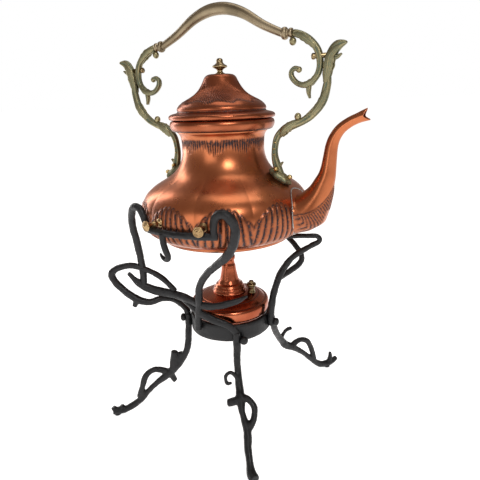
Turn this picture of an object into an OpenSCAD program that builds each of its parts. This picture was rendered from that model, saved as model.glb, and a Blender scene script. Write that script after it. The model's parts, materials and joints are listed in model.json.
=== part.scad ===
// Spirit kettle with a swinging bail handle, on a wrought-iron vine stand with a spirit burner.
// The origin is on the table under the kettle's axis. +X is the spout side, -Y is the side
// with the two brass studs, +Z is up.

/* [Kettle] */
// Widest radius of the kettle's body
body_r = 98.5; // [97:0.5:99]
// Height of the widest part above the table
body_z = 270; // [268:0.5:271]
// Height of the kettle's underside above the table
base_z = 237; // [237:0.5:238]
// Radius of the low rim round the underside
base_r = 75.5; // [74:0.5:77]
// Outer radius of the neck where it is narrowest
neck_r = 46.5; // [46:0.5:47]
// Height where the collar starts round the neck
neck_z = 358; // [357:0.5:358.5]
// Thickness of the copper sheet
wall = 1.4; // [1.2:0.1:1.8]
// Outer radius of the rolled collar round the mouth
collar_r = 59; // [57:0.5:60]

/* [Lid] */
// Outer radius of the lid's rim
lid_r = 60; // [59:0.5:61]
// Height of the lid's lower edge above the table
lid_z = 371.6; // [371.4:0.1:372]
// Radius of the knob's disc
knob_r = 8.7; // [7:0.1:10]

/* [Bail handle] */
// Height of the hinge axis above the table
pivot_z = 429; // [428:0.5:430]
// Radius of the two hinge pins
pin_r = 2.5; // [2.2:0.1:2.8]
// Clearance between a pin and its bore
pin_gap = 0.06; // [0.04:0.01:0.1]
// Height of the grip's middle line above the table
grip_z = 483.5; // [481:0.5:486]
// Half-thickness of the grip in the middle
grip_r = 6.2; // [5.5:0.1:6.8]

/* [Stand] */
// Outer radius of the iron ring that holds the burner
ring_r = 50; // [49.5:0.1:50.5]
// Thickness of the ring's band
ring_t = 3; // [2.5:0.1:3]
// Height of the ring's lower edge above the table
ring_z = 118; // [117:0.5:119]
// Height of the ring's band
ring_h = 21; // [19:0.5:21]

/* [Burner] */
// Radius of the burner's shoulder, which rests on the ring
fount_r = 48.5; // [48:0.1:48.8]
// Height of the shoulder's widest line above the table
fount_z = 150; // [149:0.5:151]
// Radius of the burner's stem at its top
stem_r = 7.3; // [6.5:0.1:8]

/* [Hidden] */
$fn = 64;
SIDES = 8;
IRON = [0.13, 0.13, 0.14];
COPPER = [0.76, 0.42, 0.26];
BRASS = [0.72, 0.58, 0.34];

collar_z = neck_z + 6;
neck_top_r = neck_r + 4.5;
mouth_r = neck_top_r - wall;
seat_r = ring_r - ring_t - 0.6;
stud_z = 271;
stud_r = 3;
stud_angle = 16;
pad_tilt = 33.5;
rivet_z = ring_z + 11;

// ---- curves ----

// A point on the cubic Bezier curve a, b, c, d
function bezier(a, b, c, d, t) =
    pow(1 - t, 3) * a + 3 * t * pow(1 - t, 2) * b + 3 * t * t * (1 - t) * c + pow(t, 3) * d;
function curve(a, b, c, d, steps) = [for (i = [0:steps]) bezier(a, b, c, d, i / steps)];

// A smooth line through points of any dimension
function pick(v, i) = v[max(0, min(len(v) - 1, i))];
function spline(a, b, c, d, t) =
    b + 0.5 * t * ((c - a) + t * ((2 * a - 5 * b + 4 * c - d) + t * (3 * (b - c) + d - a)));
function smooth(v, steps) = [
    for (i = [0:len(v) - 2])
        for (k = [0:steps - 1])
            spline(pick(v, i - 1), v[i], v[i + 1], pick(v, i + 2), k / steps),
    v[len(v) - 1]
];

function unit(v) = v / norm(v);
function place(p) = [p.x, p.y, p.z];
// [angle round the axis, distance from it, height, half-thickness] as [x, y, z, half-thickness]
function polar(p) = [p[1] * cos(p[0]), p[1] * sin(p[0]), p[2], p[3]];
function radial(angle) = [cos(angle), sin(angle), 0];
function tangent(angle) = [-sin(angle), cos(angle), 0];

// Rings of points round a path of [x, y, z, half-thickness]. side is a direction across
// the path, and flat is the half-thickness across the other way as a share of the first.
function rings(path, side, flat, sides) = [
    for (i = [0:len(path) - 1])
        let (
            t = unit(place(pick(path, i + 1)) - place(pick(path, i - 1))),
            u = unit(side - (side * t) * t),
            w = cross(t, u)
        )
        [for (k = [0:sides - 1])
            place(path[i]) + path[i][3]
                * (cos(360 * k / sides) * u + flat * sin(360 * k / sides) * w)]
];
function flatten(lists) = [for (l = lists) each l];

// Triangles between one ring of points and the next, whose first points are a and b
function band(a, b, sides) = [
    for (k = [0:sides - 1])
        let (next = (k + 1) % sides)
        each [[a + k, b + k, a + next], [a + next, b + k, b + next]]
];

// A forged strand through points [x, y, z, half-thickness]
module sweep(points, side, flat = 1, steps = 3, sides = SIDES) {
    path = smooth(points, steps);
    n = len(path);
    ends = [
        [for (k = [0:sides - 1]) k],
        [for (k = [sides - 1:-1:0]) (n - 1) * sides + k]
    ];
    walls = flatten([for (i = [0:n - 2]) band(i * sides, (i + 1) * sides, sides)]);
    polyhedron(flatten(rings(path, side, flat, sides)), concat(walls, ends), convexity = 6);
}

// A strand whose points are given round the axis
module vine(points, side, flat = 1, steps = 3) {
    sweep([for (p = points) polar(p)], side, flat, steps);
}

// Several strands welded into one forging, with a flat sole at the table
module forging() {
    resize([0, 0, 0])
        difference() {
            union() children();
            translate([0, 0, -50])
                cube([500, 500, 100], center = true);
        }
}

// A flat ribbon in the XZ plane through [x, z, half-width], with the given thickness along Y
module ribbon(points, thickness, steps = 4) {
    path = smooth(points, steps);
    n = len(path);
    function across(i) =
        let (d = pick(path, i + 1) - pick(path, i - 1))
        unit([-d.y, d.x]) * path[i][2];
    left = [for (i = [0:n - 1]) [path[i].x, path[i].y] + across(i)];
    right = [for (i = [n - 1:-1:0]) [path[i].x, path[i].y] - across(i)];
    translate([0, thickness / 2, 0])
        rotate([90, 0, 0])
            linear_extrude(thickness)
                polygon(concat(left, right));
}

// The rear half of a mirrored pair
module rear() {
    mirror([1, 0, 0]) children();
}

// ---- stand ----

module ring_band() {
    color(IRON)
        translate([0, 0, ring_z])
            difference() {
                cylinder(r = ring_r, h = ring_h);
                translate([0, 0, -1])
                    cylinder(r = ring_r - ring_t, h = ring_h + 2);
            }
}

module leg_front() {
    side = tangent(-54);
    color(IRON)
        forging() {
            vine([
                [-54, 53.5, 132, 4], [-54, 54, 118, 5], [-55, 57, 102, 4.5], [-55, 62, 84, 4.5],
                [-55, 70, 69, 5], [-55, 80, 60, 5.5], [-55, 90, 50, 4], [-53, 104, 35, 5],
                [-54, 116, 24, 4.5], [-54, 127, 14, 4.2], [-54, 135, 7, 5.5], [-53, 144, 5.4, 6]
            ], side);
            vine([
                [-54, 78, 62, 4], [-49, 84, 61, 4], [-46, 91, 54, 4],
                [-48, 98, 44, 4], [-52, 103, 36, 4]
            ], side);
            vine([
                [-55, 67, 72, 2.6], [-58, 67, 82, 2.4], [-63, 67, 88, 2.3], [-68, 67, 83, 2.3],
                [-67, 67, 73, 2.3], [-62, 67, 74, 2]
            ], radial(-60));
            vine([[-54, 79, 61, 5], [-60, 80, 58, 5], [-66, 80, 56, 4.5]], [0, 0, 1]);
        }
}

module leg_left() {
    side = tangent(-143);
    color(IRON)
        forging() {
            vine([
                [-150, 54, 134, 4.5], [-147, 54.5, 118, 4.5], [-142, 56, 102, 4.5],
                [-140, 60, 86, 4.5], [-141, 70, 70, 5], [-142, 83, 57, 5.5],
                [-144, 107, 37, 3.8], [-145, 124, 18, 4.5], [-145, 142, 7, 4.5],
                [-145, 152, 5.2, 5], [-145, 161, 5, 5]
            ], side);
            vine([
                [-143, 86, 58, 4.5], [-144, 102, 62, 4], [-144, 114, 54, 4],
                [-144, 120, 38, 4], [-145, 125, 22, 4]
            ], side);
            vine([[-141, 78, 62, 5.5], [-141, 76, 76, 5.5], [-141, 75, 88, 4.5]], side);
            vine([[-141, 70, 70, 5], [-141, 67, 80, 4.5], [-141, 66, 85, 4]], side);
            vine([[-142, 82, 57, 4.5], [-142, 80, 50, 4], [-142, 77, 44, 3.5]], side);
            vine([[-145, 148, 8, 4], [-145, 150, 12, 3.5]], side);
            vine([[-145, 159, 8, 4], [-145, 161, 11, 3.5]], side);
        }
}

module leg_right() {
    side = tangent(50);
    color(IRON)
        forging() {
            vine([
                [8, 54, 134, 4.5], [18, 54.5, 118, 4.5], [32, 57, 102, 4.5], [45, 64, 87, 4.5],
                [54, 74, 73, 5], [57, 84, 60, 6], [57, 95, 53, 5], [57, 112, 40, 4],
                [57, 131, 21, 4.2], [57, 146, 8, 5], [57, 160, 5, 5], [57, 170, 6, 4.5],
                [57, 178, 9, 3.5]
            ], side);
            vine([
                [57, 93, 54, 4.5], [57, 108, 60, 4], [57, 122, 54, 4],
                [57, 130, 38, 4], [57, 135, 20, 4]
            ], side);
            vine([[54, 73, 74, 3.5], [54, 80, 83, 2.6], [55, 87, 85, 3], [56, 92, 84, 3]], side);
            vine([[57, 164, 7, 4], [57, 166, 16, 3.2], [57, 165, 22, 2.4]], side);
        }
}

// The flat disc under a leg's end, which stands on the table
module sole(angle, distance) {
    color(IRON)
        rotate([0, 0, angle])
            translate([distance, 0, 0])
                cylinder(r = 4.4, h = 2.4);
}

module sole_front() sole(-53.3, 139.5);
module sole_left() sole(-145, 155.5);
module sole_right() sole(57, 159.5);

// A round-headed rivet through the ring, pointing away from the axis
module ring_rivet(angle, height, reach) {
    color(IRON)
        rotate([0, 0, angle])
            translate([ring_r - ring_t, 0, height])
                rotate([0, 90, 0]) {
                    cylinder(r = 2.5, h = reach);
                    translate([0, 0, reach - 3])
                        cylinder(r = 4.6, h = 5);
                }
}

module rivet_front() ring_rivet(-46, ring_z + 4, 12);
module rivet_left() ring_rivet(-150, rivet_z, 15);
module rivet_right() ring_rivet(5, rivet_z, 15);

module crook_left() {
    color(IRON)
        forging()
            vine([
                [-140, 104, 180, 4], [-139, 104, 208, 4.5], [-136, 107, 238, 4.5],
                [-134, 110, 256, 4.5], [-130, 111, 272, 4.3], [-123, 111, 285, 4.2],
                [-117, 109, 286, 4.2], [-114, 107, 277, 4], [-113, 104.5, 263.5, 4]
            ], tangent(-125) + radial(-125));
}

module loop_left() {
    side = tangent(-140);
    color(IRON)
        forging() {
            vine([
                [-152, 54, 124, 4.5], [-150, 56, 140, 4.3], [-143, 68, 157, 4.3],
                [-139, 85, 163, 4], [-138, 99, 161, 4.5], [-139, 114, 166, 5],
                [-142, 132, 181, 4.5], [-143, 141, 196, 4.5], [-142, 134, 205, 4.3],
                [-140, 118, 209, 4], [-138, 104, 205, 3.6], [-137, 91, 198, 3.6],
                [-134, 80, 189, 3.6], [-130, 69, 175, 3.4]
            ], side);
            vine([[-139, 114, 165, 4], [-139, 118, 157, 3]], side);
        }
}

module leaf_left() {
    color(IRON)
        forging()
            vine([
                [-140, 121, 200, 2.5], [-140, 108, 184, 5], [-138, 91, 175, 6],
                [-130, 72, 172, 5.5], [-112, 62, 170, 5.5], [-94, 60, 167, 5],
                [-74, 58.5, 168, 4.5], [-53, 57.5, 173, 4], [-39, 56, 177, 1.5]
            ], [0, 0, 1], 0.7);
}

module brace_front() {
    color(IRON)
        forging()
            vine([
                [-122, 64, 168, 4], [-110, 61, 163, 4.5], [-97, 58, 155, 5],
                [-78, 56, 148, 5], [-62, 54.5, 141, 4.5], [-54, 53.5, 130, 4]
            ], [0, 0, 1], 0.7);
}

module crook_front() {
    color(IRON)
        forging()
            vine([
                [-108, 53.5, 130, 4.5], [-102, 57, 150, 4.5], [-95, 62, 172, 4.5],
                [-92, 65, 190, 4.5], [-83, 69, 207, 4.5], [-71, 80, 223, 4.5],
                [-61, 95.5, 240, 5], [-57, 105, 255, 5], [-56, 110, 271, 5],
                [-58, 111, 282, 5], [-62, 110, 287.5, 5], [-66, 107.5, 283, 4.5],
                [-67, 105.5, 273, 4], [-67, 104.5, 263.5, 4]
            ], radial(-70));
}

module branch_right() {
    color(IRON)
        forging()
            vine([
                [5, 54, 124, 4.5], [4, 55.5, 150, 4.5], [12, 58, 170, 4.5], [19, 65, 189, 4.5],
                [22, 77, 205, 4], [22, 90, 215, 3.8], [22, 102, 222, 3.4], [22, 108.5, 225.5, 3.1],
                [22, 111, 229.5, 3], [22, 107.5, 233, 3], [22, 99, 233.5, 3.1],
                [22, 84, 233.5, 3.1], [22, 68, 233.4, 3]
            ], tangent(15));
}

module branch_rear() {
    color(IRON)
        forging()
            vine([
                [17, 62, 182, 4], [28, 76, 186, 4], [35, 90, 192, 4], [36, 93, 201, 3.8],
                [39, 88, 211, 3.8], [47, 80, 222, 3.5], [62, 72, 230, 3.2],
                [80, 68, 233, 3], [98, 66, 233.4, 3]
            ], [0, 0, 1] + radial(120));
}

module cradle_bar() {
    color(IRON)
        forging()
            vine([
                [-115, 104.5, 263.5, 4], [-106, 104, 263.5, 4], [-90, 103.5, 263.3, 4],
                [-74, 104, 263.5, 4], [-65, 104.5, 263.5, 4]
            ], [0, 0, 1]);
}

module cradle_tail() {
    color(IRON)
        forging()
            vine([
                [-99, 105, 261, 3.5], [-97, 105, 252, 3.4], [-94, 103, 243, 3.4],
                [-91, 99, 236, 3.2], [-93, 98, 232, 3], [-97, 98, 235, 2], [-100, 98, 241, 0.7]
            ], radial(-95));
}

// ---- kettle ----

// The outline of the body from the base rim up to the collar, moved in by a distance
function body_outline(inset) = concat(
    curve(
        [base_r - inset, base_z + 4], [base_r + 12.5 - inset, base_z + 6],
        [body_r - inset, body_z - 18], [body_r - inset, body_z], 7
    ),
    [for (i = [1:12]) bezier(
        [body_r - inset, body_z], [body_r - inset, body_z + 42],
        [neck_r - inset, neck_z - 63], [neck_r - inset, neck_z - 15], i / 12
    )],
    [for (i = [1:4]) bezier(
        [neck_r - inset, neck_z - 15], [neck_r - inset, neck_z - 8],
        [neck_r + 1 - inset, neck_z - 2], [neck_top_r - inset, neck_z], i / 4
    )],
    [[neck_top_r - inset, neck_z + 6]]
);

// The filled shape inside the body's outer face
module body_form() {
    rotate_extrude()
        polygon(concat([[0, base_z + 4]], body_outline(0), [[0, neck_z + 6]]));
}

function reversed(v) = [for (i = [len(v) - 1:-1:0]) v[i]];

module kettle_body() {
    color(COPPER)
        difference() {
            rotate_extrude()
                polygon(concat(body_outline(0), reversed(body_outline(wall))));
            translate([body_r - 15, 0, SPOUT_ROOT[0]])
                rotate([0, 90, 0])
                    cylinder(r = 13, h = 30);
        }
}

module kettle_base() {
    floor_z = base_z + 2;
    color(COPPER)
        rotate_extrude()
            polygon([
                [0, floor_z], [base_r - 4, floor_z], [base_r - 4, base_z], [base_r, base_z],
                [base_r, base_z + 4], [base_r - 4, base_z + 4],
                [base_r - 4, floor_z + wall], [0, floor_z + wall]
            ]);
}

module neck_collar() {
    bead = curve(
        [neck_top_r, neck_z + 1], [collar_r + 2, neck_z + 1],
        [collar_r + 2.5, neck_z + 13], [collar_r - 5, neck_z + 13.2], 10
    );
    color(COPPER)
        rotate_extrude()
            polygon(concat(
                bead,
                [[mouth_r, neck_z + 13.2], [mouth_r, collar_z], [neck_top_r, collar_z]]
            ));
}

// The spout's middle line in the XZ plane, with its half-width
SPOUT_ROOT = [271.5, 25.3];
SPOUT = [
    [101.5, 272.5, 23.8], [106, 277.5, 20.8], [111.5, 285.5, 17.2], [116, 294, 14.2],
    [119.3, 302.5, 11.9], [122.5, 311.5, 9.8], [124.2, 320.5, 8.4], [125.5, 331, 7.5],
    [127, 342, 6.8], [130, 351, 6.2], [136, 359.5, 5.7], [145, 366, 5.3], [154, 370, 5.2],
    [162, 372.5, 5.2]
];

// The radius of the body's outer face at a height
function body_radius(z) = lookup(z, [for (p = body_outline(0)) [p.y, p.x]]);

// A ring of points on the body's face, where the spout is brazed on
function root_ring(r, sides) = [
    for (k = [0:sides - 1])
        let (y = r * cos(360 * k / sides), z = SPOUT_ROOT[0] + r * sin(360 * k / sides))
        [sqrt(pow(body_radius(z), 2) - y * y) + 0.1, y, z]
];

module spout() {
    sides = 16;
    path = smooth([for (p = SPOUT) [p.x, 0, p.y, p.z]], 2);
    bore = [for (p = path) [p.x, p.y, p.z, p[3] - wall]];
    outer = concat([root_ring(SPOUT_ROOT[1], sides)], rings(path, [0, 1, 0], 1, sides));
    inner = concat([root_ring(SPOUT_ROOT[1] - wall, sides)], rings(bore, [0, 1, 0], 1, sides));
    n = len(outer);
    tip = (n - 1) * sides;
    skin = flatten([for (i = [0:n - 2]) band(i * sides, (i + 1) * sides, sides)]);
    lining = flatten([for (i = [0:n - 2]) band((n + i + 1) * sides, (n + i) * sides, sides)]);
    root_edge = band(n * sides, 0, sides);
    tip_edge = band(tip, tip + n * sides, sides);
    color(COPPER)
        polyhedron(
            concat(flatten(outer), flatten(inner)),
            concat(skin, lining, root_edge, tip_edge),
            convexity = 8
        );
}

// Puts its children on a bracket's pad, which lies on the sloping shoulder
module on_pad() {
    translate([68.3, 0, 306.5])
        rotate([0, pad_tilt, 0])
            children();
}

// One handle bracket: a pad on the shoulder, an S-shaped stem and a leaf-shaped head
module bracket() {
    color(BRASS)
        difference() {
            union() {
                ribbon([
                    [71, 309, 5], [66.5, 321, 4.6], [64.2, 331, 3.8], [64.5, 341, 3.4],
                    [67.5, 351.5, 3.6], [75, 359, 4.2], [85, 363.8, 4.6], [96, 367.5, 3.9],
                    [106, 374.3, 4.3], [116.3, 386, 4.4], [120.8, 401, 4], [121.8, 412, 3.3],
                    [122.6, 421, 3.6], [124.8, 430, 5], [131, 437, 4.8], [140, 439.5, 1.2]
                ], 7);
                on_pad()
                    scale([1.7, 1, 1])
                        cylinder(r = 8, h = 9.5);
                translate([90.5, 2.8, 371.5])
                    rotate([90, 0, 0])
                        cylinder(r = 3.2, h = 5.6);
            }
            body_form();
            translate([110, 0, pivot_z])
                rotate([0, 90, 0])
                    cylinder(r = pin_r, h = 18);
        }
}

module bracket_front() bracket();
module bracket_rear() rear() bracket();

// The three rivets that hold a bracket's pad
module bracket_rivets() {
    color(BRASS)
        on_pad()
            for (p = [[-7, -5.6], [-7, 5.6], [9.5, 0]])
                translate([p.x, p.y, 5.5])
                    cylinder(r = 1.9, h = 6);
}

module bracket_rivets_front() bracket_rivets();
module bracket_rivets_rear() rear() bracket_rivets();

// A hinge pin: fixed in the bracket, and the bail's scroll turns on it
module pivot_pin() {
    color(BRASS)
        translate([105.1, 0, pivot_z])
            rotate([0, 90, 0]) {
                cylinder(r = pin_r, h = 23);
                cylinder(r = pin_r + 0.7, h = 2.8);
            }
}

module pivot_pin_front() pivot_pin();
module pivot_pin_rear() rear() pivot_pin();

// A brass stud on the body's side, which rests on the stand's cradle bar
module stud(angle) {
    color(BRASS)
        rotate([0, 0, -90 + angle])
            translate([body_r - wall, 0, stud_z])
                rotate([0, 90, 0]) {
                    cylinder(r = stud_r, h = 18);
                    translate([0, 0, 17])
                        cylinder(r = 5.2, h = 3.5);
                }
}

// The raised boss where a stud enters the body
module stud_boss(angle) {
    color(BRASS)
        rotate([0, 0, -90 + angle])
            translate([body_r - 0.3, 0, stud_z])
                rotate([0, 90, 0])
                    difference() {
                        cylinder(r = 4.4, h = 2.6);
                        translate([0, 0, -1])
                            cylinder(r = stud_r, h = 5);
                    }
}

module stud_left() stud(-stud_angle);
module stud_right() stud(stud_angle);
module stud_boss_left() stud_boss(-stud_angle);
module stud_boss_right() stud_boss(stud_angle);

// ---- lid ----

// The lid's outline from its rim to the flat top, moved in by a distance
function lid_outline(inset) = concat(
    curve(
        [lid_r - 5 - inset, lid_z + inset], [lid_r + 2 - inset, lid_z + inset / 2],
        [lid_r + 1.5 - inset, lid_z + 7.5], [lid_r - 9.5 - inset, lid_z + 8.5 - inset], 6
    ),
    [for (i = [1:9]) bezier(
        [lid_r - 9.5 - inset, lid_z + 8.5 - inset], [46 - inset, lid_z + 22 - inset],
        [26 - inset, lid_z + 22 - inset], [15.5 - inset, lid_z + 47 - inset], i / 9
    )]
);

module lid() {
    color(COPPER)
        rotate_extrude()
            polygon(concat(
                lid_outline(0), [[0, lid_z + 47], [0, lid_z + 47 - wall]],
                reversed(lid_outline(wall))
            ));
}

module lid_bezel() {
    outer = mouth_r - 0.6;
    color(COPPER)
        translate([0, 0, lid_z - 9])
            difference() {
                union() {
                    cylinder(r = outer, h = 11);
                    translate([0, 0, 9.1])
                        cylinder(r = lid_r - 6, h = 1.9);
                }
                translate([0, 0, -1])
                    cylinder(r = outer - wall, h = 13);
            }
}

module finial_stem() {
    color(BRASS)
        translate([0, 0, lid_z + 47])
            cylinder(r = 4.6, h = 5.5);
}

module finial_knob() {
    bottom = lid_z + 52.5;
    color(BRASS)
        rotate_extrude()
            polygon(concat(
                [[0, bottom], [5, bottom]],
                curve(
                    [knob_r - 0.5, bottom + 1.5], [knob_r + 1, bottom + 4],
                    [knob_r - 4, bottom + 6], [3.4, bottom + 8.5], 8
                ),
                [[2.6, bottom + 10.5], [0, bottom + 11]]
            ));
}

// ---- bail handle ----

module grip() {
    half = [[0, grip_z, grip_r], [15, grip_z - 1.8, 6], [32, grip_z - 8.2, 5.3],
            [53, grip_z - 20.8, 4.5], [74, grip_z - 31, 3.9]];
    whole = concat(
        [for (i = [len(half) - 1:-1:1]) [-half[i].x, 0, half[i].y, half[i].z]],
        [for (p = half) [p.x, 0, p.y, p.z]]
    );
    color(BRASS)
        resize([0, 0, 0])
            sweep(whole, [0, 1, 0], 1, 3, 12);
}

// Two turned rings between the grip and a scroll
module grip_collars() {
    color(BRASS)
        translate([74, 0, grip_z - 31])
            rotate([0, 90, 0]) {
                cylinder(r = 5.9, h = 5);
                translate([0, 0, 5])
                    cylinder(r = 3.6, h = 2.5);
                translate([0, 0, 7.5])
                    cylinder(r = 4.5, h = 3.5);
            }
}

module grip_collars_front() grip_collars();
module grip_collars_rear() rear() grip_collars();

// A C-scroll with a curled inner end and a spike, bored for its hinge pin
module scroll() {
    color(BRASS)
        difference() {
            union() {
                ribbon([
                    [85, 452.5, 3.6], [94, 449.5, 3.7], [103, 444, 3.6], [109.8, 436.5, 3.5],
                    [113, 428, 3.6], [113.3, 418.5, 3.3], [110.5, 411, 3.1], [104.5, 404.8, 3],
                    [97.5, 402.6, 2.9], [90, 404.8, 2.8], [84.3, 410.5, 2.7],
                    [83.6, 416, 2.5], [87, 419, 2.4], [91, 418.2, 2.6]
                ], 7);
                ribbon([[102.5, 403.5, 3], [102, 396, 2.4], [103.5, 389.5, 1]], 6);
                translate([85, 3, 444.6])
                    rotate([90, 0, 0])
                        cylinder(r = 3.2, h = 6);
            }
            translate([108, 0, pivot_z])
                rotate([0, 90, 0])
                    cylinder(r = pin_r + pin_gap, h = 12);
        }
}

module scroll_front() scroll();
module scroll_rear() rear() scroll();

// ---- burner ----

module fount_lower() {
    floor_z = ring_z + 4;
    color(COPPER)
        rotate_extrude()
            polygon([
                [0, floor_z], [30, floor_z], [40, floor_z + 3], [45, floor_z + 12],
                [seat_r - 0.6, ring_z + ring_h - 1], [seat_r - 0.2, ring_z + ring_h + 0.3],
                [0, ring_z + ring_h + 0.3]
            ]);
}

module fount_upper() {
    bottom = ring_z + ring_h + 0.3;
    dome = curve([fount_r - 2.5, fount_z + 4], [fount_r - 8, fount_z + 10], [28, fount_z + 10],
        [20, fount_z + 13], 6);
    color(COPPER)
        rotate_extrude()
            polygon(concat(
                [[0, bottom], [fount_r - 1.5, bottom], [fount_r, fount_z]],
                dome, [[0, fount_z + 13]]
            ));
}

module burner_stem() {
    bottom = fount_z + 24;
    color(COPPER)
        translate([0, 0, bottom])
            difference() {
                cylinder(r1 = 14.5, r2 = stem_r, h = 31);
                translate([0, 0, 6])
                    cylinder(r = 4, h = 30);
            }
}

module stem_moulding() {
    bottom = fount_z + 13;
    color(COPPER)
        rotate_extrude()
            polygon([
                [0, bottom], [20.5, bottom], [20.5, bottom + 3], [18.5, bottom + 4.5],
                [19.5, bottom + 6.5], [17, bottom + 8.5], [17, bottom + 11], [0, bottom + 11]
            ]);
}

module burner_head() {
    color(COPPER)
        translate([0, 0, fount_z + 55])
            difference() {
                cylinder(r = stem_r + 1, h = 5);
                translate([0, 0, -1])
                    cylinder(r = 4, h = 7);
            }
}

module wick() {
    color("ivory")
        translate([0, 0, fount_z + 32])
            cylinder(r = 3.6, h = 29.5);
}

filler_x = 27;
filler_y = 7;

module filler_neck() {
    color(BRASS)
        translate([filler_x, filler_y, fount_z + 11])
            difference() {
                cylinder(r = 4.2, h = 10);
                translate([0, 0, 2])
                    cylinder(r = 2.6, h = 9);
            }
}

module filler_cap() {
    color(BRASS)
        translate([filler_x, filler_y, fount_z + 21.3]) {
            cylinder(r = 6, h = 3);
            translate([0, 0, 3])
                cylinder(r = 3, h = 3.5);
            translate([0, 0, -4])
                cylinder(r = 2.4, h = 4.5);
        }
}

ring_band();
leg_front();
leg_left();
leg_right();
rivet_front();
rivet_left();
rivet_right();
crook_left();
loop_left();
leaf_left();
brace_front();
crook_front();
branch_right();
branch_rear();
cradle_bar();
cradle_tail();
sole_front();
sole_left();
sole_right();
kettle_body();
kettle_base();
neck_collar();
spout();
bracket_front();
bracket_rear();
bracket_rivets_front();
bracket_rivets_rear();
pivot_pin_front();
pivot_pin_rear();
stud_left();
stud_right();
stud_boss_left();
stud_boss_right();
lid();
lid_bezel();
finial_stem();
finial_knob();
grip();
scroll_front();
scroll_rear();
grip_collars_front();
grip_collars_rear();
fount_lower();
fount_upper();
burner_stem();
stem_moulding();
burner_head();
wick();
filler_neck();
filler_cap();
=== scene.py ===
"""A copper spirit kettle on a wrought-iron vine stand, finished for rendering.

Sizes are in millimetres and are turned into metres with MM. Pieces are placed from the
boxes of the model's own nodes and from listed numbers, and ride on the bodies that carry them.
"""
import json
import math

import bmesh
import bpy
from mathutils import Matrix, Vector, noise


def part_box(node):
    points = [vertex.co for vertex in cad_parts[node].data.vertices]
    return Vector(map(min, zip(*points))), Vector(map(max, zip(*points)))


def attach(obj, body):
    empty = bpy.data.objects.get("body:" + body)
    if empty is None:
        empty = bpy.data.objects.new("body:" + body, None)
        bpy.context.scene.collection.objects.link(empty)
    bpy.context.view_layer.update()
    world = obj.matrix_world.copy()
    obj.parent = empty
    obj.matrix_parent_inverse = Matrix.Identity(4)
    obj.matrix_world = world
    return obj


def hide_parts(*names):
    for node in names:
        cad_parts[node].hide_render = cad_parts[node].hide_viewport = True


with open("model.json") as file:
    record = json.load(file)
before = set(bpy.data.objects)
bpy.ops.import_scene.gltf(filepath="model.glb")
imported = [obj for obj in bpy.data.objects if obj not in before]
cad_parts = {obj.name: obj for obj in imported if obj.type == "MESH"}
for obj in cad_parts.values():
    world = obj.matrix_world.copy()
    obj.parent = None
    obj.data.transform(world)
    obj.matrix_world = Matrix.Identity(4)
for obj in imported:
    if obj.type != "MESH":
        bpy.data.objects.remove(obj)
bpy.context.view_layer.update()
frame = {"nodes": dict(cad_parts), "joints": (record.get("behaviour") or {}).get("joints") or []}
nodes = frame["nodes"]

MM = 0.001
TURN = 2 * math.pi
X_AXIS, Y_AXIS, Z_AXIS = Vector((1, 0, 0)), Vector((0, 1, 0)), Vector((0, 0, 1))

BODY_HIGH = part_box("kettle_body")[1]
BASE_LOW, BASE_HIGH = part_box("kettle_base")
LID_LOW, LID_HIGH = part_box("lid")
COLLAR_LOW, COLLAR_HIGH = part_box("neck_collar")
PIVOT = Vector(next(j for j in frame["joints"] if j["name"] == "bail_swing")["pos_m"])

BODY_R = BODY_HIGH.x / MM
BASE_R = BASE_HIGH.x / MM
BASE_Z = BASE_LOW.z / MM
LID_R = LID_HIGH.x / MM
LID_Z = LID_LOW.z / MM
NECK_TOP = BODY_HIGH.z / MM
# The neck's narrowest radius, the height of the widest part, and the sheet's thickness
NECK_R = 46.5
BODY_Z = BASE_Z + 33
SHEET = 1.4
# Height of the two studs above the table, and their directions in degrees
STUD_Z = 271
STUD_ANGLES = {"left": -106, "right": -74}


# ---- curves and numbers ----

def clamp(x, low=0.0, high=1.0):
    return max(low, min(high, x))


def ease(x):
    """0 below 0, 1 above 1, and smooth between."""
    x = clamp(x)
    return x * x * (3 - 2 * x)


def bump(x, middle, width):
    """1 at the middle, and nothing further off than a few widths."""
    return math.exp(-((x - middle) / width) ** 2)


def grain(x, y, z, size):
    """Smooth noise from -1 to 1, with features of about this size in millimetres."""
    return noise.noise(Vector((x, y, z)) / size)


def bezier(a, b, c, d, steps):
    """Points on a cubic curve, without its first."""
    points = []
    for i in range(1, steps + 1):
        t = i / steps
        s = 1 - t
        points.append(tuple(
            s ** 3 * p + 3 * s * s * t * q + 3 * s * t * t * r + t ** 3 * e
            for p, q, r, e in zip(a, b, c, d)
        ))
    return points


def spline(points, t):
    """The point at t, from 0 to 1, on a smooth line through points of any dimension."""
    place = clamp(t) * (len(points) - 1)
    i = min(int(place), len(points) - 2)
    t = place - i
    a, b, c, d = (points[max(0, min(len(points) - 1, k))] for k in (i - 1, i, i + 1, i + 2))
    return [
        q + 0.5 * t * ((r - p) + t * ((2 * p - 5 * q + 4 * r - s) + t * (3 * (q - r) + s - p)))
        for p, q, r, s in zip(a, b, c, d)
    ]


# ---- materials ----

bpy.context.scene.view_settings.view_transform = "Standard"


def new_material(name, colour, metallic, roughness):
    material = bpy.data.materials.new(name)
    material.use_nodes = True
    shader = material.node_tree.nodes["Principled BSDF"]
    shader.inputs["Base Color"].default_value = (*colour, 1)
    shader.inputs["Metallic"].default_value = metallic
    shader.inputs["Roughness"].default_value = roughness
    return material, material.node_tree, shader


def object_noise(tree, scale, detail=4.0, stretch=(1, 1, 1)):
    """Noise on the piece's own coordinates, in features per metre."""
    place = tree.nodes.new("ShaderNodeTexCoord")
    turn = tree.nodes.new("ShaderNodeMapping")
    turn.inputs["Scale"].default_value = stretch
    texture = tree.nodes.new("ShaderNodeTexNoise")
    texture.inputs["Scale"].default_value = scale
    texture.inputs["Detail"].default_value = detail
    tree.links.new(place.outputs["Object"], turn.inputs["Vector"])
    tree.links.new(turn.outputs["Vector"], texture.inputs["Vector"])
    return texture.outputs["Fac"]


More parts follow.
